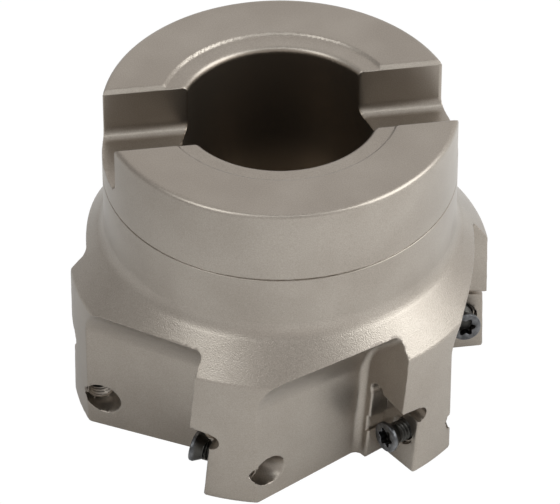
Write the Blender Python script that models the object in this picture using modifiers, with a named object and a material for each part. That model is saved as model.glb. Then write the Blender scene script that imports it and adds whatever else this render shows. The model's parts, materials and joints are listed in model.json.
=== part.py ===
"""Shell-type indexable face mill: a one-piece steel body with six insert pockets, and six insert screws.

Metres, +Z up. The origin is the centre of the front (cutting) face, and the arbor bore opens upwards.
The drive-key slots lie along X, and the first tooth points along +X. Seen from above, the cutter turns
clockwise. Each tooth is cut in its own frame: u points outwards from the axis, t runs anticlockwise round
the body and w is the tooth's own upward direction, which leans back by the axial rake.
"""

import math

import bmesh
import bpy
from mathutils import Matrix, Vector

MM = 0.001

# Body
BODY_HEIGHT = 38.4 * MM
HUB_RADIUS = 20.0 * MM
HUB_EDGE_RADIUS = 0.6 * MM
BODY_RADIUS = 24.0 * MM
BODY_EDGE_CHAMFER = 0.2 * MM
SHOULDER_TOP = 23.5 * MM
SHOULDER_BOTTOM = 16.8 * MM
SHOULDER_ANGLE = math.radians(42)
SHOULDER_HOLLOW_RADIUS = 5.0 * MM
SHOULDER_ROUND_RADIUS = 1.2 * MM

# Arbor bore, seen from the top, and the pocket for the arbor bolt, seen from below
BORE_RADIUS = 11.0 * MM
BORE_DEPTH = 20.0 * MM
BORE_CHAMFER = 0.4 * MM
RECESS_RADIUS = 13.6 * MM
RECESS_DEPTH = 0.36 * MM
BOLT_HOLE_RADIUS = 5.5 * MM
BOLT_HEAD_RADIUS = 9.0 * MM
BOLT_HEAD_DEPTH = 12.0 * MM

# Drive-key slots
SLOT_HALF_WIDTH = 5.2 * MM
SLOT_DEPTH = 6.3 * MM
SLOT_FLOOR_RADIUS = 1.3 * MM
SLOT_CHAMFER = 0.5 * MM

# Teeth
TOOTH_COUNT = 6
AXIAL_RAKE = math.atan(0.097)
GULLET_FLOOR = 17.0 * MM
GULLET_WALL = -2.4 * MM
GULLET_FILLET = 0.9 * MM
CEILING_POINT = (22.0 * MM, 19.2 * MM)
CEILING_ANGLE = math.radians(43)
CEILING_CORNER_RADIUS = 2.0 * MM

# Insert pocket in a tooth
SEAT = 0.1 * MM
STOP_WALL = 18.6 * MM
POCKET_TOP_INSIDE = 10.1 * MM
POCKET_TOP_OUTSIDE = 9.25 * MM
POCKET_TOP_SLOPE = (POCKET_TOP_OUTSIDE - POCKET_TOP_INSIDE) / (BODY_RADIUS - STOP_WALL)
POCKET_FRONT = -5.4 * MM
CORNER_RELIEF_RADIUS = 1.0 * MM
CORNER_RELIEF_PAST_SEAT = 0.15 * MM
INNER_RELIEF_RADIUS = 1.0 * MM
INNER_RELIEF_INSET = 0.3 * MM

# Screw hole and screw, an M2.5 insert screw
HOLE_U = 21.5 * MM
HOLE_W = 4.63 * MM
THREAD_RADIUS = 1.25 * MM
RUNNING_GAP = 0.05 * MM
MOUTH_RADIUS = 1.75 * MM
MOUTH_DEPTH = 0.4 * MM
EXIT_RADIUS = 1.88 * MM
THREAD_LENGTH = 4.9 * MM
SCREW_LENGTH = 6.5 * MM
HEAD_RADIUS = 1.8 * MM
HEAD_BAND = 0.2 * MM
HEAD_EDGE = 0.15 * MM
HEAD_HEIGHT = 1.4 * MM
HEAD_ABOVE_SEAT = 2.55 * MM
SOCKET_DEPTH = 0.75 * MM
SOCKET_LOBE_RADIUS = 1.15 * MM
SOCKET_ROOT_RADIUS = 0.82 * MM
SOCKET_POINTS = 12

# Finishes: colour, roughness and metallic value
NICKEL_PLATE = ((0.30, 0.265, 0.23), 0.38, 1.0)
DARK_SCREW_STEEL = ((0.06, 0.06, 0.065), 0.35, 1.0)

# Cutters run this far past the surfaces that they open
PAST = 8.0 * MM
# Points nearer to each other than this count as one place
NEAR = 0.01 * MM
BODY_STEPS = 96
SMALL_STEPS = 20
FILLET_STEPS = 3
SHARP_ANGLE = math.radians(30)


def clear_scene():
    for obj in list(bpy.data.objects):
        bpy.data.objects.remove(obj, do_unlink=True)


def new_collection(name):
    collection = bpy.data.collections.new(name)
    bpy.context.scene.collection.children.link(collection)
    return collection


def new_material(name, finish):
    colour, roughness, metallic = finish
    material = bpy.data.materials.new(name)
    material.use_nodes = True
    shader = material.node_tree.nodes["Principled BSDF"]
    shader.inputs["Base Color"].default_value = (*colour, 1.0)
    shader.inputs["Roughness"].default_value = roughness
    shader.inputs["Metallic"].default_value = metallic
    return material


def new_object(name, mesh, collection, material=None):
    obj = bpy.data.objects.new(name, mesh)
    collection.objects.link(obj)
    if material:
        mesh.materials.append(material)
    return obj


def as_cutter(obj):
    obj.hide_render = True
    obj.display_type = "WIRE"
    return obj


def arc(centre, radius, start, end, steps):
    """Points from angle start to angle end, both included, in degrees."""
    points = []
    for i in range(steps + 1):
        angle = math.radians(start + (end - start) * i / steps)
        points.append((centre[0] + radius * math.cos(angle), centre[1] + radius * math.sin(angle)))
    return points


def turned(name, profile, steps, collection, closed=False):
    """A profile of (radius, height) points turned round Z. An open profile ends on the axis at both ends."""
    mesh = bpy.data.meshes.new(name)
    edges = [(i, i + 1) for i in range(len(profile) - 1)]
    if closed:
        edges.append((len(profile) - 1, 0))
    mesh.from_pydata([(radius, 0.0, height) for radius, height in profile], edges, [])
    obj = new_object(name, mesh, collection)
    screw = obj.modifiers.new("Turn", "SCREW")
    screw.steps = steps
    screw.render_steps = steps
    screw.use_merge_vertices = True
    screw.merge_threshold = NEAR
    return obj


def prism(name, outline, start, end, collection):
    """An outline of (u, w) points, anticlockwise as seen along -t, extruded from t = start to t = end."""
    mesh = bpy.data.meshes.new(name)
    shape = bmesh.new()
    near = [shape.verts.new((u, start, w)) for u, w in outline]
    face = shape.faces.new(near)
    made = bmesh.ops.extrude_face_region(shape, geom=[face])
    moved = [item for item in made["geom"] if isinstance(item, bmesh.types.BMVert)]
    bmesh.ops.translate(shape, verts=moved, vec=Vector((0.0, end - start, 0.0)))
    bmesh.ops.recalc_face_normals(shape, faces=shape.faces)
    shape.to_mesh(mesh)
    shape.free()
    return new_object(name, mesh, collection)


def cylinder(name, radius, start, end, steps, collection):
    """A cylinder whose axis runs from start to end."""
    mesh = bpy.data.meshes.new(name)
    shape = bmesh.new()
    axis = Vector(end) - Vector(start)
    bmesh.ops.create_cone(
        shape, cap_ends=True, segments=steps, radius1=radius, radius2=radius, depth=axis.length
    )
    turn = axis.to_track_quat("Z", "Y").to_matrix().to_4x4()
    middle = Matrix.Translation((Vector(start) + Vector(end)) / 2)
    bmesh.ops.transform(shape, matrix=middle @ turn, verts=shape.verts)
    shape.to_mesh(mesh)
    shape.free()
    return new_object(name, mesh, collection)


def tooth_matrix(index):
    """The frame of one tooth, whose axes are u, t and w."""
    around = Matrix.Rotation(2 * math.pi * index / TOOTH_COUNT, 4, "Z")
    lean = Matrix.Rotation(-AXIAL_RAKE, 4, "X")
    return around @ lean


def body_profile():
    """The turned outline of the body: down the outside, then up through the bore."""
    height = BODY_HEIGHT
    hub, edge = HUB_RADIUS, HUB_EDGE_RADIUS
    angle = math.degrees(SHOULDER_ANGLE)
    points = arc((hub - edge, height - edge), edge, 90, 0, 3)
    hollow_centre = (hub + SHOULDER_HOLLOW_RADIUS, SHOULDER_TOP)
    points += arc(hollow_centre, SHOULDER_HOLLOW_RADIUS, 180, 180 + angle, 5)
    round_centre = (BODY_RADIUS - SHOULDER_ROUND_RADIUS, SHOULDER_BOTTOM)
    points += arc(round_centre, SHOULDER_ROUND_RADIUS, angle, 0, 3)
    points += [(BODY_RADIUS, BODY_EDGE_CHAMFER), (BODY_RADIUS - BODY_EDGE_CHAMFER, 0.0)]
    points += [
        (BOLT_HEAD_RADIUS, 0.0),
        (BOLT_HEAD_RADIUS, BOLT_HEAD_DEPTH),
        (BOLT_HOLE_RADIUS, BOLT_HEAD_DEPTH),
        (BOLT_HOLE_RADIUS, height - BORE_DEPTH),
        (BORE_RADIUS, height - BORE_DEPTH),
        (BORE_RADIUS, height - RECESS_DEPTH - BORE_CHAMFER),
        (BORE_RADIUS + BORE_CHAMFER, height - RECESS_DEPTH),
        (RECESS_RADIUS - RECESS_DEPTH, height - RECESS_DEPTH),
        (RECESS_RADIUS, height),
    ]
    return points


def slot_cutter(collection):
    """The drive-key slots: one channel along X, with rounded floor corners and chamfered top edges."""
    half, radius = SLOT_HALF_WIDTH, SLOT_FLOOR_RADIUS
    floor = BODY_HEIGHT - SLOT_DEPTH
    top = BODY_HEIGHT + SLOT_CHAMFER
    outline = arc((half - radius, floor + radius), radius, -90, 0, 3)
    outline += [
        (half, BODY_HEIGHT - SLOT_CHAMFER),
        (half + 2 * SLOT_CHAMFER, top),
        (-half - 2 * SLOT_CHAMFER, top),
        (-half, BODY_HEIGHT - SLOT_CHAMFER),
    ]
    outline += arc((radius - half, floor + radius), radius, 180, 270, 3)
    reach = BODY_RADIUS + PAST
    cutter = prism("slot_cutter", outline, -reach, reach, collection)
    cutter.rotation_euler.z = math.radians(90)
    return as_cutter(cutter)


def gullet_outline():
    """The (u, w) outline of a gullet: its floor, the sloping ceiling under the shoulder, and open air."""
    slope = math.tan(CEILING_ANGLE)
    corner_height = CEILING_POINT[1] - slope * (CEILING_POINT[0] - GULLET_FLOOR)
    turn = (math.pi / 2 - CEILING_ANGLE) / 2
    centre = (
        GULLET_FLOOR + CEILING_CORNER_RADIUS,
        corner_height - CEILING_CORNER_RADIUS * math.tan(turn),
    )
    outer = BODY_RADIUS + PAST
    ceiling_end = CEILING_POINT[1] + slope * (outer - CEILING_POINT[0])
    outline = [(outer, ceiling_end)]
    outline += arc(centre, CEILING_CORNER_RADIUS, 90 + math.degrees(CEILING_ANGLE), 180, 3)
    outline += [(GULLET_FLOOR, -PAST), (outer, -PAST)]
    return outline


def gullet_cutter(collection):
    """The chip gullet in front of a tooth, with a fillet where its floor and ceiling meet the wall."""
    cutter = prism("gullet_cutter", gullet_outline(), GULLET_WALL, -BODY_RADIUS - PAST, collection)
    shape = bmesh.new()
    shape.from_mesh(cutter.data)
    inside = BODY_RADIUS + PAST / 2
    edges = []
    for edge in shape.edges:
        ends = [vert.co for vert in edge.verts]
        on_wall = all(abs(end.y - GULLET_WALL) < NEAR for end in ends)
        cuts_body = (ends[0].x + ends[1].x) / 2 < inside
        below_body = max(ends[0].z, ends[1].z) < -PAST / 2
        if on_wall and cuts_body and not below_body:
            edges.append(edge)
    bmesh.ops.bevel(
        shape,
        geom=edges,
        offset=GULLET_FILLET,
        segments=FILLET_STEPS,
        profile=0.5,
        affect="EDGES",
        clamp_overlap=False,
    )
    shape.to_mesh(cutter.data)
    shape.free()
    return as_cutter(cutter)


def pocket_cutter(collection):
    """The insert pocket: it opens to the gullet, the outside and the front face."""
    outer = BODY_RADIUS + PAST
    outline = [
        (STOP_WALL, -PAST),
        (outer, -PAST),
        (outer, POCKET_TOP_INSIDE + POCKET_TOP_SLOPE * (outer - STOP_WALL)),
        (STOP_WALL, POCKET_TOP_INSIDE),
    ]
    return as_cutter(prism("pocket_cutter", outline, SEAT, POCKET_FRONT, collection))


def corner_relief_cutter(collection):
    """The round groove behind the seat's top edge, which keeps the insert's corner clear."""
    t = SEAT + CORNER_RELIEF_PAST_SEAT
    outer = BODY_RADIUS + PAST
    height = POCKET_TOP_INSIDE - CORNER_RELIEF_RADIUS
    start = (STOP_WALL, t, height)
    end = (outer, t, height + POCKET_TOP_SLOPE * (outer - STOP_WALL))
    return as_cutter(
        cylinder("corner_relief_cutter", CORNER_RELIEF_RADIUS, start, end, SMALL_STEPS, collection)
    )


def inner_relief_cutter(collection):
    """The drilled relief in the pocket's inner top corner."""
    start = (STOP_WALL + INNER_RELIEF_INSET, SEAT, POCKET_TOP_INSIDE - INNER_RELIEF_INSET)
    end = (start[0], POCKET_FRONT, start[2])
    return as_cutter(
        cylinder("inner_relief_cutter", INNER_RELIEF_RADIUS, start, end, SMALL_STEPS, collection)
    )


def hole_cutter(collection):
    """The screw hole: a chamfered mouth at the seat, the thread, and a wider run-out into the next gullet."""
    gap_radius = THREAD_RADIUS + RUNNING_GAP
    profile = [
        (0.0, PAST),
        (MOUTH_RADIUS, PAST),
        (MOUTH_RADIUS, 0.0),
        (gap_radius, -MOUTH_DEPTH),
        (gap_radius, -THREAD_LENGTH),
        (EXIT_RADIUS, -THREAD_LENGTH - (EXIT_RADIUS - gap_radius)),
        (EXIT_RADIUS, -BODY_RADIUS / 2),
        (0.0, -BODY_RADIUS / 2),
    ]
    return as_cutter(turned("hole_cutter", profile, SMALL_STEPS, collection))


def screw_matrix():
    """In a tooth's frame: the seat end of the screw hole, with +Z out of the hole along the screw's axis."""
    return Matrix.Translation((HOLE_U, SEAT, HOLE_W)) @ Matrix.Rotation(math.radians(90), 4, "X")


def screw_mesh(collection, material):
    """An insert screw standing on its axis, with its head's face at HEAD_ABOVE_SEAT."""
    top = HEAD_ABOVE_SEAT
    shank = THREAD_RADIUS - RUNNING_GAP
    profile = [
        (0.0, top),
        (HEAD_RADIUS - HEAD_EDGE, top),
        (HEAD_RADIUS, top - HEAD_EDGE),
        (HEAD_RADIUS, top - HEAD_EDGE - HEAD_BAND),
        (shank, top - HEAD_HEIGHT),
        (shank, top - SCREW_LENGTH + HEAD_EDGE),
        (shank - HEAD_EDGE, top - SCREW_LENGTH),
        (0.0, top - SCREW_LENGTH),
    ]
    blank = turned("screw_blank", profile, SMALL_STEPS, collection)
    socket = []
    for i in range(SOCKET_POINTS):
        radius = (SOCKET_LOBE_RADIUS, SOCKET_ROOT_RADIUS)[i % 2]
        angle = 2 * math.pi * i / SOCKET_POINTS
        socket.append((radius * math.cos(angle), radius * math.sin(angle)))
    driver = prism("socket_cutter", socket, -SOCKET_DEPTH, PAST, collection)
    driver.matrix_world = Matrix.Translation((0.0, 0.0, top)) @ Matrix.Rotation(math.radians(90), 4, "X")
    cut(blank, [as_cutter(driver)])
    mesh = baked(blank)
    mesh.name = "insert_screw"
    mesh.materials.append(material)
    bpy.data.objects.remove(blank, do_unlink=True)
    return mesh


def cut(obj, cutters):
    for cutter in cutters:
        boolean = obj.modifiers.new(cutter.name, "BOOLEAN")
        boolean.operation = "DIFFERENCE"
        boolean.object = cutter


def baked(obj):
    """The mesh of an object with its modifiers applied."""
    bpy.context.view_layer.update()
    graph = bpy.context.evaluated_depsgraph_get()
    return bpy.data.meshes.new_from_object(obj.evaluated_get(graph))


def smooth(mesh):
    mesh.shade_smooth()
    mesh.set_sharp_from_angle(angle=SHARP_ANGLE)


def build():
    clear_scene()
    parts = new_collection("face_mill")
    cutters = new_collection("cutters")
    body_steel = new_material("nickel_plated_steel", NICKEL_PLATE)
    screw_steel = new_material("dark_screw_steel", DARK_SCREW_STEEL)

    blank = turned("cutter_body", body_profile(), BODY_STEPS, parts, closed=True)
    blank.data.materials.append(body_steel)
    cut(blank, [slot_cutter(cutters)])
    masters = [
        gullet_cutter(cutters),
        pocket_cutter(cutters),
        corner_relief_cutter(cutters),
        inner_relief_cutter(cutters),
        hole_cutter(cutters),
    ]
    placed = [Matrix.Identity(4)] * 4 + [screw_matrix()]
    for index in range(TOOTH_COUNT):
        for master, place in zip(masters, placed):
            cutter = master.copy()
            cutters.objects.link(cutter)
            cutter.matrix_world = tooth_matrix(index) @ place
            cut(blank, [cutter])
    mesh = baked(blank)
    blank.modifiers.clear()
    blank.data = mesh
    smooth(mesh)
    for master in masters:
        bpy.data.objects.remove(master, do_unlink=True)

    screw = screw_mesh(cutters, screw_steel)
    smooth(screw)
    for index in range(TOOTH_COUNT):
        obj = new_object(f"insert_screw_{index + 1}", screw, parts)
        obj.matrix_world = tooth_matrix(index) @ screw_matrix()


build()
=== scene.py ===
"""The looks of the face mill: a finely blasted, nickel-plated body and six dark insert screws.

The body is modelled as an implicit solid, in millimetres: a turned outline, less the key slots, gullets,
insert pockets, reliefs and screw holes, each with its own fillet or broken edge. A surface net turns it
into a mesh whose points are then moved onto the exact surface, so its normals are exact too.
"""

import json
import math

import bpy
import numpy as np
from mathutils import Matrix, Vector

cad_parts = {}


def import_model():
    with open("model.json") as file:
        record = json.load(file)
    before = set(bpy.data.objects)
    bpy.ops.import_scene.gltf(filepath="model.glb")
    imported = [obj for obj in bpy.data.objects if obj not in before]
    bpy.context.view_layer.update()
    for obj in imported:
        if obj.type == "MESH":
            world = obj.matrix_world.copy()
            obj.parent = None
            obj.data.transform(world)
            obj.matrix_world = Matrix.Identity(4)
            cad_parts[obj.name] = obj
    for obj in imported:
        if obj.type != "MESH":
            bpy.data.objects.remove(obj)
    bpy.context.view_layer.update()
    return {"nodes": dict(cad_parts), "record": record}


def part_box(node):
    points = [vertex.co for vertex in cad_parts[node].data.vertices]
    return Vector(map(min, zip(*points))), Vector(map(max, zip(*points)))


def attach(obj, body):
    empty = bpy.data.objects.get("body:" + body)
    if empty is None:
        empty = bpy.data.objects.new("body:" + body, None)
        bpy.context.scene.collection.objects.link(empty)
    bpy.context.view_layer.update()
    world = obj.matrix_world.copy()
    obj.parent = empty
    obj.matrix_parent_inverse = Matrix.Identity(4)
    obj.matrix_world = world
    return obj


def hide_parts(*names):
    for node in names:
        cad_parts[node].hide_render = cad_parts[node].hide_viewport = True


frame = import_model()

MM = 0.001
TOOTH_COUNT = 6

# Body, in millimetres. The height and the outer radius come from the frame.
BODY_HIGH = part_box("cutter_body")[1]
BODY_HEIGHT = BODY_HIGH[2] / MM
BODY_RADIUS = BODY_HIGH[0] / MM
HUB_RADIUS = 20.0
HUB_EDGE_RADIUS = 0.6
SHOULDER_TOP = 23.5
SHOULDER_BOTTOM = 16.8
SHOULDER_ANGLE = 42.0
SHOULDER_HOLLOW_RADIUS = 3.4
SHOULDER_ROUND_RADIUS = 0.8
BODY_EDGE_RADIUS = 0.3
BORE_RADIUS = 11.0
BORE_DEPTH = 20.0
BORE_EDGE = 0.8
RECESS_RADIUS = 13.6
RECESS_DEPTH = 0.36
RECESS_EDGE = 0.2
BOLT_HOLE_RADIUS = 5.5
BOLT_HEAD_RADIUS = 9.0
BOLT_HEAD_DEPTH = 12.0
BOLT_HEAD_EDGE = 0.4
GROOVE_HEIGHT = BODY_HEIGHT - 9.0
GROOVE_HALF_WIDTH = 0.11
GROOVE_DEPTH = 0.2

# Drive-key slots
SLOT_HALF_WIDTH = 5.2
SLOT_DEPTH = 6.3
SLOT_FLOOR_RADIUS = 1.3
SLOT_CHAMFER = 0.5
SLOT_EDGE = 0.12

# Teeth, each in its own frame: u outwards, t anticlockwise, w up and leaning back by the axial rake
AXIAL_RAKE = math.atan(0.097)
GULLET_FLOOR = 17.0
GULLET_WALL = -2.4
GULLET_FILLET = 0.9
CEILING_POINT = (22.0, 19.2)
CEILING_ANGLE = math.radians(43)
CEILING_CORNER_RADIUS = 2.0
GULLET_EDGE = 0.12
SEAT = 0.1
STOP_WALL = 18.6
POCKET_TOP = 10.1
POCKET_TOP_SLOPE = -0.157
POCKET_FILLET = 0.12
POCKET_EDGE = 0.28
CORNER_RELIEF_RADIUS = 1.0
CORNER_RELIEF_PAST_SEAT = 0.15
CORNER_RELIEF_INSET = 0.3
INNER_RELIEF_RADIUS = 1.0
INNER_RELIEF_CENTRE = (STOP_WALL + 0.75, POCKET_TOP - 0.5)
PAD_GAP_MIDDLE = 4.6
PAD_GAP_HALF = 0.95
PAD_GAP_DEPTH = 0.3
HOLE_U = 21.5
HOLE_W = 4.63
HOLE_RADIUS = 1.5
MOUTH_RADIUS = 1.7
MOUTH_DEPTH = 0.1
EXIT_RADIUS = 1.88
THREAD_LENGTH = 4.9
HOLE_EDGE = 0.06

# How far a tooth's cuts reach from its seat, and inwards past the gullet floor
TOOTH_AHEAD = 26.0
TOOTH_BEHIND = 16.0
TOOTH_INWARDS = 2.0

# Threads and screws
THREAD_PITCH = 0.45
THREAD_START = 0.35
THREAD_SKIN = 0.06
THREAD_CLEAR = 0.02
SCREW_MAJOR = 1.22
SCREW_MINOR = 0.98
NUT_MAJOR = 1.46
NUT_MINOR = 1.27
SCREW_LENGTH = 6.5
HEAD_RADIUS = 1.79
HEAD_BAND = 0.25
HEAD_EDGE = 0.15
HEAD_HEIGHT = 1.4
SOCKET_DEPTH = 0.95
SOCKET_RADIUS = 0.99
SOCKET_WAVE = 0.18
SOCKET_FLOOR_RADIUS = 0.05
SOCKET_EDGE = 0.06
SCREW_RUN_OUT = 0.3
SCREW_TIP = 0.02 - SCREW_LENGTH
SCREW_POINT = 0.3
SCREW_POINT_HEIGHT = 0.23

# Surface nets: cell sizes, and offsets that keep the layers of a grid off the flat faces
BODY_CELL = 0.25
GROOVE_CELL = 0.04
GROOVE_BAND = 0.24
SCREW_CELL = 0.07
BODY_OFFSET = (0.013, 0.017, 0.007)
SCREW_OFFSET = (0.011, 0.003, 0.005)
BODY_STEP = 0.02
SCREW_STEP = 0.01
PLANE_SOFTNESS = 0.03
CREASE = math.cos(math.radians(25))
CREASE_INSET = 0.65

# A thread's flanks and a socket's lobes are steep, so their distances are scaled down to stay true
FLANK_SLOPE = 0.7
LOBE_SLOPE = 0.75

# Stage
AZIMUTH, ELEVATION = math.radians(-8.56), math.radians(39.16)
TARGET = Vector((0, 0, (BODY_HEIGHT - 21.23) * MM))
CAMERA_DISTANCE = 0.5515
LENS = 310.4
SOFTBOX_DISTANCE = 0.5
SOFTBOX_TINT = (0.93, 0.98, 1.0)
TABLE_HALF_WIDTH = 0.6
TABLE_SHADE_REACH = 0.07


# ---------------------------------------------------------------- implicit shapes

def round_and(a, b, radius):
    """The intersection of two distances, with the edge between them rounded."""
    inner = np.minimum(-radius, np.maximum(a, b))
    return inner + np.hypot(np.maximum(a + radius, 0), np.maximum(b + radius, 0))


def less(a, b, radius):
    """Solid a with b cut away, and the new edge broken by a radius."""
    return round_and(a, -b, radius)


def arc(centre, radius, start, end, steps):
    angles = np.radians(np.linspace(start, end, steps + 1))
    return [(centre[0] + radius * math.cos(a), centre[1] + radius * math.sin(a)) for a in angles]


def body_outline():
    """The turned outline of the body as (radius, height): down the outside, then up through the bore."""
    top = BODY_HEIGHT
    edge = HUB_EDGE_RADIUS
    points = arc((HUB_RADIUS - edge, top - edge), edge, 90, 0, 8)
    half, depth = GROOVE_HALF_WIDTH, GROOVE_DEPTH
    points += [
        (HUB_RADIUS, GROOVE_HEIGHT + half),
        (HUB_RADIUS - depth, GROOVE_HEIGHT + half / 2),
        (HUB_RADIUS - depth, GROOVE_HEIGHT - half / 2),
        (HUB_RADIUS, GROOVE_HEIGHT - half),
    ]
    hollow = (HUB_RADIUS + SHOULDER_HOLLOW_RADIUS, SHOULDER_TOP)
    points += arc(hollow, SHOULDER_HOLLOW_RADIUS, 180, 180 + SHOULDER_ANGLE, 24)
    rounding = (BODY_RADIUS - SHOULDER_ROUND_RADIUS, SHOULDER_BOTTOM)
    points += arc(rounding, SHOULDER_ROUND_RADIUS, SHOULDER_ANGLE, 0, 12)
    edge = BODY_EDGE_RADIUS
    points += arc((BODY_RADIUS - edge, edge), edge, 0, -90, 5)
    edge = BOLT_HEAD_EDGE
    points += arc((BOLT_HEAD_RADIUS + edge, edge), edge, 270, 180, 4)
    points += [
        (BOLT_HEAD_RADIUS, BOLT_HEAD_DEPTH),
        (BOLT_HOLE_RADIUS, BOLT_HEAD_DEPTH),
        (BOLT_HOLE_RADIUS, top - BORE_DEPTH),
        (BORE_RADIUS, top - BORE_DEPTH),
    ]
    floor, edge = top - RECESS_DEPTH, RECESS_EDGE
    points += arc((BORE_RADIUS + BORE_EDGE, floor - BORE_EDGE), BORE_EDGE, 180, 90, 8)
    inner = RECESS_RADIUS - RECESS_DEPTH
    points += arc((inner - edge * math.tan(math.pi / 8), floor + edge), edge, -90, -45, 4)
    points += arc((RECESS_RADIUS + edge * math.tan(math.pi / 8), top - edge), edge, 135, 90, 4)
    return np.array(points)


def outline_distance(outline, radii, heights):
    """Signed distance to a closed outline, on a grid of radii and heights."""
    r, h = np.meshgrid(radii, heights, indexing="ij")
    nearest = np.full(r.shape, 1e9)
    inside = np.zeros(r.shape, bool)
    for (ar, ah), (br, bh) in zip(outline, np.roll(outline, -1, axis=0)):
        er, eh = br - ar, bh - ah
        length = max(er * er + eh * eh, 1e-12)
        along = np.clip(((r - ar) * er + (h - ah) * eh) / length, 0, 1)
        nearest = np.minimum(nearest, np.hypot(r - ar - along * er, h - ah - along * eh))
        if bh != ah:
            crossing = ((ah > h) != (bh > h)) & (r < er * (h - ah) / eh + ar)
            inside ^= crossing
    return np.where(inside, -nearest, nearest)


class Turned:
    """A turned solid, whose distance is read from a table of radius and height."""

    def __init__(self, outline, step, margin):
        low = (0.0, outline[:, 1].min() - margin)
        high = (outline[:, 0].max() + margin, outline[:, 1].max() + margin)
        self.low, self.step = low, step
        radii = np.arange(low[0], high[0] + step, step)
        heights = np.arange(low[1], high[1] + step, step)
        self.table = outline_distance(outline, radii, heights).astype(np.float32)

    def distance(self, radius, height):
        a = (radius - self.low[0]) / self.step
        b = (height - self.low[1]) / self.step
        i = np.clip(a.astype(np.int32), 0, self.table.shape[0] - 2)
        j = np.clip(b.astype(np.int32), 0, self.table.shape[1] - 2)
        a = np.clip(a - i, 0, 1)
        b = np.clip(b - j, 0, 1)
        near = self.table[i, j] * (1 - b) + self.table[i, j + 1] * b
        far = self.table[i + 1, j] * (1 - b) + self.table[i + 1, j + 1] * b
        return near * (1 - a) + far * a


def tooth_axes(index):
    """The directions of u, t and w for one tooth, as rows."""
    around = Matrix.Rotation(2 * math.pi * index / TOOTH_COUNT, 3, "Z")
    lean = Matrix.Rotation(-AXIAL_RAKE, 3, "X")
    return np.array((around @ lean).transposed())


def gullet(u, t, w):
    """The chip space in front of a tooth, under a sloping ceiling."""
    slope = math.tan(CEILING_ANGLE)
    ceiling = (w - CEILING_POINT[1] - slope * (u - CEILING_POINT[0])) * math.cos(CEILING_ANGLE)
    channel = round_and(GULLET_FLOOR - u, ceiling, CEILING_CORNER_RADIUS)
    return round_and(channel, t - GULLET_WALL, GULLET_FILLET)


def pocket(u, t, w):
    """The insert's pocket, with the gap between its two stop pads and the relief in its inner corner."""
    top = w - POCKET_TOP - POCKET_TOP_SLOPE * (u - STOP_WALL)
    walls = round_and(STOP_WALL - u, top, POCKET_FILLET)
    box = round_and(walls, t - SEAT, POCKET_FILLET)
    pad_gap = np.maximum(np.abs(w - PAD_GAP_MIDDLE) - PAD_GAP_HALF, STOP_WALL - PAD_GAP_DEPTH - u)
    pad_gap = np.maximum(pad_gap, t - SEAT)
    box = np.minimum(box, pad_gap)
    inner = np.hypot(u - INNER_RELIEF_CENTRE[0], w - INNER_RELIEF_CENTRE[1]) - INNER_RELIEF_RADIUS
    return np.minimum(box, np.maximum(inner, t - SEAT))


def corner_relief(u, t, w):
    """The round groove along the pocket's upper edge at the seat."""
    height = POCKET_TOP - CORNER_RELIEF_RADIUS + POCKET_TOP_SLOPE * (u - STOP_WALL)
    groove = np.hypot(t - SEAT - CORNER_RELIEF_PAST_SEAT, w - height) - CORNER_RELIEF_RADIUS
    return np.maximum(groove, STOP_WALL - CORNER_RELIEF_INSET - u)


def screw_hole(u, t, w):
    """The screw hole with its countersunk mouth, and its wider run-out into the next gullet."""
    depth = t - SEAT
    mouth = np.minimum(MOUTH_RADIUS, MOUTH_RADIUS + MOUTH_DEPTH - depth)
    radius = np.maximum(HOLE_RADIUS, mouth)
    radius = np.where(depth > THREAD_LENGTH, EXIT_RADIUS, radius)
    return np.hypot(u - HOLE_U, w - HOLE_W) - radius


def key_slots(y, z):
    """Both drive-key slots, as one channel across the hub with chamfered upper edges."""
    channel = round_and(np.abs(y) - SLOT_HALF_WIDTH, BODY_HEIGHT - SLOT_DEPTH - z, SLOT_FLOOR_RADIUS)
    chamfer = (np.abs(y) - SLOT_HALF_WIDTH - z + BODY_HEIGHT - SLOT_CHAMFER) * math.sqrt(0.5)
    return np.minimum(channel, chamfer)


def body_distance(points, turned, holes=True):
    """Signed distance to the body at an (n, 3) array of points, in millimetres."""
    x, y, z = points[:, 0], points[:, 1], points[:, 2]
    radius = np.hypot(x, y)
    solid = turned.distance(radius, z)
    solid = less(solid, key_slots(y, z), SLOT_EDGE)
    low = (z < SHOULDER_TOP) & (radius > GULLET_FLOOR - TOOTH_INWARDS)
    teeth = points[low]
    cut = solid[low]
    for index in range(TOOTH_COUNT):
        u, t, w = (teeth @ axis.astype(np.float32) for axis in tooth_axes(index))
        near = (u > 0) & (t > -TOOTH_AHEAD) & (t < TOOTH_BEHIND)
        u, t, w, part = u[near], t[near], w[near], cut[near]
        part = less(part, gullet(u, t, w), GULLET_EDGE)
        part = less(part, pocket(u, t, w), POCKET_EDGE)
        part = less(part, corner_relief(u, t, w), HOLE_EDGE)
        cut[near] = less(part, screw_hole(u, t, w), HOLE_EDGE) if holes else part
    solid[low] = cut
    return solid


# ---------------------------------------------------------------- surface net

CORNERS = [(i, j, k) for i in (0, 1) for j in (0, 1) for k in (0, 1)]
EDGES = [(a, b) for a in CORNERS for b in CORNERS if a < b and sum(abs(p - q) for p, q in zip(a, b)) == 1]


def shifted(grid, corner):
    i, j, k = corner
    return grid[i : grid.shape[0] - 1 + i, j : grid.shape[1] - 1 + j, k : grid.shape[2] - 1 + k]


def grid_values(axes, distance):
    """The distance at every point of a grid, one layer of x at a time."""
    xs, ys, zs = axes
    values = np.empty((len(xs), len(ys), len(zs)), np.float32)
    yy, zz = np.meshgrid(ys, zs, indexing="ij")
    layer = np.empty((yy.size, 3), np.float32)
    layer[:, 1], layer[:, 2] = yy.ravel(), zz.ravel()
    for i, x in enumerate(xs):
        layer[:, 0] = x
        values[i] = distance(layer).reshape(yy.shape)
    return values


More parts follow.
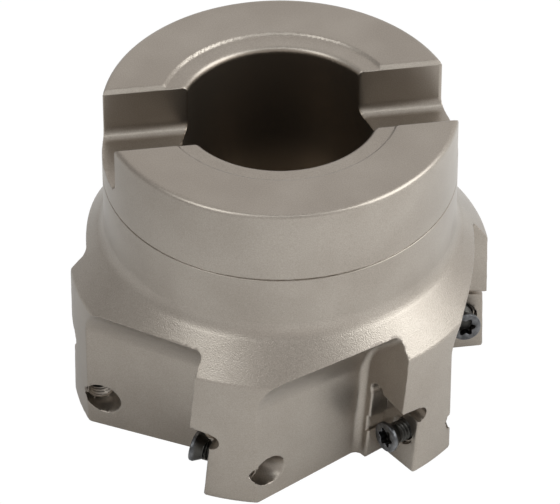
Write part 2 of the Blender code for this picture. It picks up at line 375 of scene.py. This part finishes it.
def net_points(axes, values, cells, distance, step):
    """One point in each cell that the surface crosses, where the planes of its crossings meet best.

    Planes that nearly agree leave the point at the mean of the crossings, and unlike ones pull it onto
    their common edge or corner.
    """
    count = np.zeros(len(cells[0]))
    total = np.zeros((len(cells[0]), 3))
    crossings = []
    for near, far in EDGES:
        a = tuple(c + o for c, o in zip(cells, near))
        b = tuple(c + o for c, o in zip(cells, far))
        va, vb = values[a], values[b]
        used = np.nonzero((va < 0) != (vb < 0))[0]
        share = (va[used] / (va[used] - vb[used]))[:, None]
        start = np.stack([places[i[used]] for places, i in zip(axes, a)], axis=1)
        end = np.stack([places[i[used]] for places, i in zip(axes, b)], axis=1)
        place = (start + share * (end - start)).astype(np.float32)
        slope = gradient(place, distance, step)
        slope /= np.maximum(np.linalg.norm(slope, axis=1), 1e-6)[:, None]
        count[used] += 1
        total[used] += place
        crossings.append((used, place, slope))
    mean = total / count[:, None]
    matrix = np.zeros((len(mean), 3, 3)) + PLANE_SOFTNESS * np.eye(3)
    offset = np.zeros((len(mean), 3))
    for used, place, slope in crossings:
        matrix[used] += slope[:, :, None] * slope[:, None, :]
        reach = ((place - mean[used]) * slope).sum(axis=1)
        offset[used] += reach[:, None] * slope
    shift = np.linalg.solve(matrix, offset[:, :, None])[:, :, 0]
    half = (axes[0][1] - axes[0][0]) / 2
    return mean + np.clip(shift, -half, half)


def net_faces(inside, index):
    """A quad round every grid edge that the surface crosses, facing outwards."""
    faces = []
    for axis in range(3):
        first, second = (axis + 1) % 3, (axis + 2) % 3
        order = (axis, first, second)
        solid = inside.transpose(order)
        cell = index.transpose(order)
        low, high = solid[:-1, 1:-1, 1:-1], solid[1:, 1:-1, 1:-1]
        i, j, k = np.nonzero(low != high)
        ring = [cell[i, j, k], cell[i, j + 1, k], cell[i, j + 1, k + 1], cell[i, j, k + 1]]
        quads = np.stack(ring, axis=1)
        outward = low[i, j, k]
        faces.append(np.where(outward[:, None], quads, quads[:, ::-1]))
    return np.concatenate(faces)


def gradient(points, distance, step):
    slopes = []
    for axis in range(3):
        offset = np.zeros(3, np.float32)
        offset[axis] = step
        slopes.append((distance(points + offset) - distance(points - offset)) / (2 * step))
    return np.stack(slopes, axis=1)


def unit(vectors):
    return vectors / np.maximum(np.linalg.norm(vectors, axis=-1, keepdims=True), 1e-6)


def corner_normals(points, faces, distance, step):
    """A normal for each corner of each face: the point's own, or on a crease that of the face's side."""
    own = unit(gradient(points, distance, step))
    corners = own[faces]
    middle = points[faces].mean(axis=1)
    side = unit(gradient(middle, distance, step))
    agree = (corners * side[:, None, :]).sum(axis=2)
    creased = np.nonzero(agree.min(axis=1) < CREASE)[0]
    inner = (1 - CREASE_INSET) * points[faces[creased]] + CREASE_INSET * middle[creased][:, None, :]
    near = unit(gradient(inner.reshape(-1, 3), distance, step)).reshape(-1, 4, 3)
    corners[creased] = np.where(agree[creased][:, :, None] < CREASE, near, corners[creased])
    return corners.reshape(-1, 3)


def surface(name, axes, distance, step):
    """A mesh of the zero surface of a distance, with exact normals, and its points in millimetres."""
    values = grid_values(axes, distance)
    inside = values < 0
    total = sum(shifted(inside, corner).astype(np.int8) for corner in CORNERS)
    active = (total > 0) & (total < 8)
    index = np.full(active.shape, -1, np.int32)
    index[active] = np.arange(active.sum())
    points = net_points(axes, values, np.nonzero(active), distance, step).astype(np.float32)
    faces = net_faces(inside, index)
    for _ in range(2):
        slope = gradient(points, distance, step)
        steep = np.maximum((slope**2).sum(axis=1), 0.25)
        move = distance(points) / steep
        points -= np.clip(move, -step * 4, step * 4)[:, None] * slope
    mesh = bpy.data.meshes.new(name)
    mesh.from_pydata((points * MM).tolist(), [], faces.tolist())
    mesh.shade_smooth()
    mesh.normals_split_custom_set(corner_normals(points, faces, distance, step).tolist())
    return mesh, points


def link(name, data):
    obj = bpy.data.objects.new(name, data)
    bpy.context.scene.collection.objects.link(obj)
    return obj


# ---------------------------------------------------------------- materials

def node(tree, kind, **values):
    made = tree.nodes.new(kind)
    for key, value in values.items():
        if hasattr(made, key):
            setattr(made, key, value)
        else:
            made.inputs[key.replace("_", " ").title()].default_value = value
    return made


def ramp(tree, value, start, end, low=0.0, high=1.0, kind="SMOOTHSTEP"):
    """A value that goes from low to high as another goes from start to end."""
    made = tree.nodes.new("ShaderNodeMapRange")
    made.interpolation_type = kind
    made.inputs["From Min"].default_value = start
    made.inputs["From Max"].default_value = end
    made.inputs["To Min"].default_value = low
    made.inputs["To Max"].default_value = high
    tree.links.new(value, made.inputs["Value"])
    return made.outputs["Result"]


def tones(tree, value, dark, light):
    """A colour between two (position, colour) stops."""
    made = tree.nodes.new("ShaderNodeValToRGB")
    for element, (position, colour) in zip(made.color_ramp.elements, (dark, light)):
        element.position = position
        element.color = (*colour, 1)
    tree.links.new(value, made.inputs["Fac"])
    return made.outputs["Color"]


def blend(tree, factor):
    """A mix of two colours, to be set or linked at inputs A and B."""
    made = tree.nodes.new("ShaderNodeMix")
    made.data_type = "RGBA"
    tree.links.new(factor, made.inputs["Factor"])
    return made


def maths(tree, operation, first, second):
    made = tree.nodes.new("ShaderNodeMath")
    made.operation = operation
    tree.links.new(first, made.inputs[0])
    tree.links.new(second, made.inputs[1])
    return made.outputs["Value"]


def inside_bore(tree, place):
    """1 on the bore's wall and 0 outside it: where shade is painted into the plate's colour."""
    split = tree.nodes.new("ShaderNodeSeparateXYZ")
    tree.links.new(place.outputs["Object"], split.inputs["Vector"])
    square_x = maths(tree, "MULTIPLY", split.outputs["X"], split.outputs["X"])
    square_y = maths(tree, "MULTIPLY", split.outputs["Y"], split.outputs["Y"])
    square = maths(tree, "ADD", square_x, square_y)
    wide, narrow = ((BORE_RADIUS + reach) * MM for reach in (0.3, 0.02))
    near_axis = ramp(tree, square, wide**2, narrow**2)
    above_face = ramp(tree, split.outputs["Z"], 0.4 * MM, 0.8 * MM)
    return maths(tree, "MULTIPLY", near_axis, above_face)


def new_metal(name):
    """A metal material, as (material, tree, shader, texture coordinates)."""
    material = bpy.data.materials.new(name)
    material.use_nodes = True
    tree = material.node_tree
    shader = tree.nodes["Principled BSDF"]
    shader.inputs["Metallic"].default_value = 1.0
    return material, tree, shader, tree.nodes.new("ShaderNodeTexCoord")


def plated_steel():
    """Satin nickel plate: fine blasted grain, stronger on the shoulder, with faint tone changes and painted
    shade on the bore's wall.
    """
    material, tree, shader, place = new_metal("nickel_plate")
    grain = node(tree, "ShaderNodeTexNoise", scale=7500.0, detail=1.0, roughness=0.5)
    cloud = node(tree, "ShaderNodeTexNoise", scale=120.0, detail=3.0, roughness=0.5)
    for texture in (grain, cloud):
        tree.links.new(place.outputs["Object"], texture.inputs["Vector"])
    tone = tones(tree, cloud.outputs["Fac"], (0.35, (0.315, 0.277, 0.238)), (0.65, (0.355, 0.315, 0.273)))
    specks = tree.nodes.new("ShaderNodeVectorMath")
    specks.operation = "SCALE"
    tree.links.new(tone, specks.inputs["Vector"])
    speck = ramp(tree, grain.outputs["Fac"], 0.3, 0.7, 0.9, 1.1, "LINEAR")
    tree.links.new(speck, specks.inputs["Scale"])
    # Painted shade: the bore's wall gets a dark colour, standing in for the shade inside the hole.
    painted_bore_shade = blend(tree, inside_bore(tree, place))
    tree.links.new(specks.outputs["Vector"], painted_bore_shade.inputs["A"])
    painted_bore_shade.inputs["B"].default_value = (0.24, 0.2, 0.16, 1)
    tree.links.new(painted_bore_shade.outputs["Result"], shader.inputs["Base Color"])
    rough = ramp(tree, grain.outputs["Fac"], 0.0, 1.0, 0.3, 0.44, "LINEAR")
    tree.links.new(rough, shader.inputs["Roughness"])
    blasted = tree.nodes.new("ShaderNodeAttribute")
    blasted.attribute_name = "blasted"
    bump = tree.nodes.new("ShaderNodeBump")
    bump.inputs["Distance"].default_value = 0.03 * MM
    tree.links.new(ramp(tree, blasted.outputs["Fac"], 0.0, 1.0, 0.08, 1.0, "LINEAR"), bump.inputs["Strength"])
    tree.links.new(grain.outputs["Fac"], bump.inputs["Height"])
    tree.links.new(bump.outputs["Normal"], shader.inputs["Normal"])
    return material


def screw_steel():
    """Dark steel, lighter where the head is worn, with painted shade on the shank and the lower head."""
    material, tree, shader, place = new_metal("dark_screw_steel")
    wear = node(tree, "ShaderNodeTexNoise", scale=900.0, detail=3.0, roughness=0.6)
    tree.links.new(place.outputs["Object"], wear.inputs["Vector"])
    split = tree.nodes.new("ShaderNodeSeparateXYZ")
    tree.links.new(place.outputs["Object"], split.inputs["Vector"])
    # Painted shade: from 0.35 mm below the head's face downwards the colour turns darker, where the screw
    # sits in its countersink and hole.
    painted_shank_shade = blend(tree, ramp(tree, split.outputs["Z"], -0.75 * MM, -0.35 * MM))
    painted_shank_shade.inputs["A"].default_value = (0.06, 0.057, 0.052, 1)
    worn = tones(tree, wear.outputs["Fac"], (0.4, (0.07, 0.07, 0.072)), (0.7, (0.2, 0.2, 0.205)))
    tree.links.new(worn, painted_shank_shade.inputs["B"])
    tree.links.new(painted_shank_shade.outputs["Result"], shader.inputs["Base Color"])
    rough = ramp(tree, wear.outputs["Fac"], 0.0, 1.0, 0.24, 0.42, "LINEAR")
    tree.links.new(rough, shader.inputs["Roughness"])
    return material


# ---------------------------------------------------------------- pieces

def paint(mesh, name, where):
    """Marks some of a mesh's points with 1, for its material to read."""
    mask = mesh.attributes.new(name, "FLOAT", "POINT")
    mask.data.foreach_set("value", where.astype(np.float32))


def body(turned):
    """The body's mesh object, with finer layers at the groove and the shoulder marked as blasted."""
    side = np.arange(-BODY_RADIUS - 2 * BODY_CELL, BODY_RADIUS + 3 * BODY_CELL, BODY_CELL)
    heights = np.arange(-2 * BODY_CELL, BODY_HEIGHT + 3 * BODY_CELL, BODY_CELL)
    end = GROOVE_HEIGHT + GROOVE_BAND + GROOVE_CELL / 2
    band = np.arange(GROOVE_HEIGHT - GROOVE_BAND, end, GROOVE_CELL)
    outside = (heights < band[0] - GROOVE_CELL) | (heights > band[-1] + GROOVE_CELL)
    heights = np.sort(np.concatenate([heights[outside], band]))
    axes = tuple((a + offset).astype(np.float32) for a, offset in zip((side, side, heights), BODY_OFFSET))
    mesh, points = surface("mill_body", axes, lambda p: body_distance(p, turned), BODY_STEP)
    radius = np.hypot(points[:, 0], points[:, 1])
    height = points[:, 2]
    on_turned = np.abs(turned.distance(radius, height)) < 0.03
    shoulder = on_turned & (height < SHOULDER_TOP) & (height > SHOULDER_BOTTOM) & (radius > HUB_RADIUS - 0.1)
    paint(mesh, "blasted", shoulder)
    return link("mill_body", mesh)


def screw_outline():
    """The screw's turned outline without its thread; height 0 is the head's face."""
    points = [(0.0, 0.0)]
    points += arc((HEAD_RADIUS - HEAD_EDGE, -HEAD_EDGE), HEAD_EDGE, 90, 0, 5)
    points += [
        (HEAD_RADIUS, -HEAD_EDGE - HEAD_BAND),
        (SCREW_MAJOR, -HEAD_HEIGHT),
        (SCREW_MAJOR, SCREW_TIP + SCREW_POINT_HEIGHT),
        (SCREW_MAJOR - SCREW_POINT, SCREW_TIP),
        (0.0, SCREW_TIP),
    ]
    return np.array(points)


def thread_radius(z, angle, minor, major):
    """The radius of a 60-degree thread, flat at its crests and roots."""
    phase = np.abs((z / THREAD_PITCH - angle / (2 * math.pi)) % 1.0 - 0.5) * 2
    return minor + (major - minor) * np.clip(phase * 1.25 - 0.125, 0, 1)


def screw_distance(points, turned):
    """Signed distance to a screw, whose thread runs out under the head."""
    x, y, z = points[:, 0], points[:, 1], points[:, 2]
    radius = np.hypot(x, y)
    angle = np.arctan2(y, x)
    solid = turned.distance(radius, z)
    flank = thread_radius(z, angle, SCREW_MINOR, SCREW_MAJOR)
    run_out = np.clip((z + HEAD_HEIGHT) / SCREW_RUN_OUT + 0.5, 0, 1)
    limit = flank + (HEAD_RADIUS - flank) * run_out
    solid = np.maximum(solid, (radius - limit) * FLANK_SLOPE)
    lobes = SOCKET_RADIUS + SOCKET_WAVE * np.cos(6 * angle)
    socket = round_and((radius - lobes) * LOBE_SLOPE, -SOCKET_DEPTH - z, SOCKET_FLOOR_RADIUS)
    return less(solid, socket, SOCKET_EDGE)


def small_axes(radius, low, high):
    """A fine grid's axes round a screw or its hole."""
    side = np.arange(-radius - 0.2, radius + 0.3, SCREW_CELL, dtype=np.float32)
    heights = np.arange(low - 0.2, high, SCREW_CELL, dtype=np.float32)
    return tuple(a + offset for a, offset in zip((side, side, heights), SCREW_OFFSET))


def screw_mesh():
    turned = Turned(screw_outline(), 0.03, 1.0)
    axes = small_axes(HEAD_RADIUS, -SCREW_LENGTH, 0.3)
    return surface("screw_1", axes, lambda p: screw_distance(p, turned), SCREW_STEP)[0]


def screw_placement(index):
    """Where the head's face is, with +Z out along the screw's joint axis."""
    joint = next(j for j in frame["record"]["behaviour"]["joints"] if j["name"] == f"screw_{index}_travel")
    axis = Vector(joint["axis"]).normalized()
    corners = [v.co for v in frame["nodes"][f"insert_screw_{index}"].data.vertices]
    reach = max(co.dot(axis) for co in corners)
    face = [co for co in corners if co.dot(axis) > reach - MM / 100]
    centre = sum(face, Vector()) / len(face)
    up = Vector((0, 0, 1))
    side = up.cross(axis).normalized()
    turn = Matrix((side, axis.cross(side), axis)).transposed().to_4x4()
    return Matrix.Translation(centre) @ turn


def hole_matrix(index):
    """The seat end of a tooth's screw hole, with +Z out of the hole, in millimetres."""
    u, t, w = tooth_axes(index)
    place = HOLE_U * u + SEAT * t + HOLE_W * w
    return np.array([u, w, -t]).T, place


def thread_distance(points, turned):
    """The wall of a screw hole with its thread, cut off where the body's own surface cuts the hole."""
    turn, place = hole_matrix(0)
    radius = np.hypot(points[:, 0], points[:, 1])
    z = points[:, 2]
    wall = thread_radius(z, np.arctan2(points[:, 1], points[:, 0]), NUT_MINOR, NUT_MAJOR)
    tube = np.maximum((wall - radius) * FLANK_SLOPE, radius - HOLE_RADIUS - THREAD_SKIN)
    tube = np.maximum(tube, np.maximum(z + THREAD_START, -THREAD_LENGTH - z))
    outside = body_distance((points @ turn.T + place).astype(np.float32), turned, holes=False)
    return np.maximum(tube, outside + THREAD_CLEAR)


def thread_mesh(turned):
    axes = small_axes(HOLE_RADIUS, -THREAD_LENGTH, 0.1)
    return surface("hole_thread", axes, lambda p: thread_distance(p, turned), SCREW_STEP)[0]


plate = plated_steel()
dark = screw_steel()

blank = Turned(body_outline(), 0.08, 3.0)
mill = body(blank)
mill.data.materials.append(plate)
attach(mill, "cutter")
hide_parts("cutter_body")

screw_data, thread_data = screw_mesh(), thread_mesh(blank)
screw_data.materials.append(dark)
thread_data.materials.append(plate)
for index in range(1, TOOTH_COUNT + 1):
    placement = screw_placement(index)
    screw = link(f"screw_{index}", screw_data)
    screw.matrix_world = placement
    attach(screw, f"screw_{index}")
    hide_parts(f"insert_screw_{index}")
    turn, place = hole_matrix(index - 1)
    thread = link(f"hole_thread_{index}", thread_data)
    thread.matrix_world = Matrix.Translation(Vector(place) * MM) @ Matrix(turn.tolist()).to_4x4()
    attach(thread, "cutter")


# ---------------------------------------------------------------- stage

def direction(azimuth, elevation):
    """A direction from the object, as degrees to the right of the camera and above the horizon."""
    turn, rise = AZIMUTH + math.radians(azimuth), math.radians(elevation)
    return Vector((math.sin(turn) * math.cos(rise), -math.cos(turn) * math.cos(rise), math.sin(rise)))


def softbox(name, azimuth, elevation, size, radiance):
    """A rectangular lamp facing the object, with its width and height in metres."""
    width, height = size
    data = bpy.data.lights.new(name, "AREA")
    data.shape = "RECTANGLE"
    data.size, data.size_y = width, height
    data.energy = radiance * math.pi * width * height
    data.color = SOFTBOX_TINT
    light = link(name, data)
    back = direction(azimuth, elevation)
    light.location = TARGET + back * SOFTBOX_DISTANCE
    light.rotation_euler = back.to_track_quat("Z", "Y").to_euler()


def floor():
    """A table that the camera doesn't see: it is reflected in the sides, darker to the left."""
    half = TABLE_HALF_WIDTH
    corners = [(-half, -half, 0), (half, -half, 0), (half, half, 0), (-half, half, 0)]
    mesh = bpy.data.meshes.new("table")
    mesh.from_pydata(corners, [], [(0, 1, 2, 3)])
    material = bpy.data.materials.new("table")
    material.use_nodes = True
    tree = material.node_tree
    shader = tree.nodes["Principled BSDF"]
    shader.inputs["Roughness"].default_value = 1.0
    place = tree.nodes.new("ShaderNodeTexCoord")
    split = tree.nodes.new("ShaderNodeSeparateXYZ")
    tree.links.new(place.outputs["Object"], split.inputs["Vector"])
    reach = TABLE_SHADE_REACH
    shade = ramp(tree, split.outputs["X"], -reach, reach, 0.7, 1.0, "LINEAR")
    tree.links.new(shade, shader.inputs["Base Color"])
    mesh.materials.append(material)
    obj = link("table", mesh)
    obj.rotation_euler.z = AZIMUTH
    obj.visible_camera = False


def world():
    """A white room, darker on the left and over the camera."""
    scene = bpy.context.scene
    scene.world = bpy.data.worlds.new("studio")
    scene.world.use_nodes = True
    tree = scene.world.node_tree
    background = tree.nodes["Background"]
    background.inputs["Color"].default_value = (1, 1, 1, 1)
    place = tree.nodes.new("ShaderNodeTexCoord")

    def along(azimuth, elevation):
        made = tree.nodes.new("ShaderNodeVectorMath")
        made.operation = "DOT_PRODUCT"
        made.inputs[1].default_value = direction(azimuth, elevation)
        tree.links.new(place.outputs["Generated"], made.inputs[0])
        return made.outputs["Value"]

    from_left = ramp(tree, along(90, 0), -0.95, -0.1, 0.55, 1.01)
    over_camera = ramp(tree, along(8, 56), 0.75, 0.97, 1.0, 0.5)
    overhead = ramp(tree, along(0, 90), -0.2, 0.4, 1.0, 0.93)
    strength = maths(tree, "MULTIPLY", maths(tree, "MULTIPLY", from_left, over_camera), overhead)
    tree.links.new(strength, background.inputs["Strength"])


def camera():
    """A long lens, 39 degrees above the horizon and 9 degrees round from square to the key slots."""
    back = direction(0, math.degrees(ELEVATION))
    data = bpy.data.cameras.new("camera")
    data.sensor_width = 36.0
    data.lens = LENS
    data.clip_start, data.clip_end = 0.05, 20
    obj = link("camera", data)
    obj.location = TARGET + back * CAMERA_DISTANCE
    obj.rotation_euler = back.to_track_quat("Z", "Y").to_euler()
    bpy.context.scene.camera = obj


bpy.context.scene.view_settings.view_transform = "Standard"
camera()
floor()
world()
softbox("right_box", 79, 35, (0.38, 0.36), 3.6)
softbox("left_box", -47, 42, (0.2, 0.24), 3.3)
softbox("top_box", 4, 58, (0.5, 0.05), 3.0)
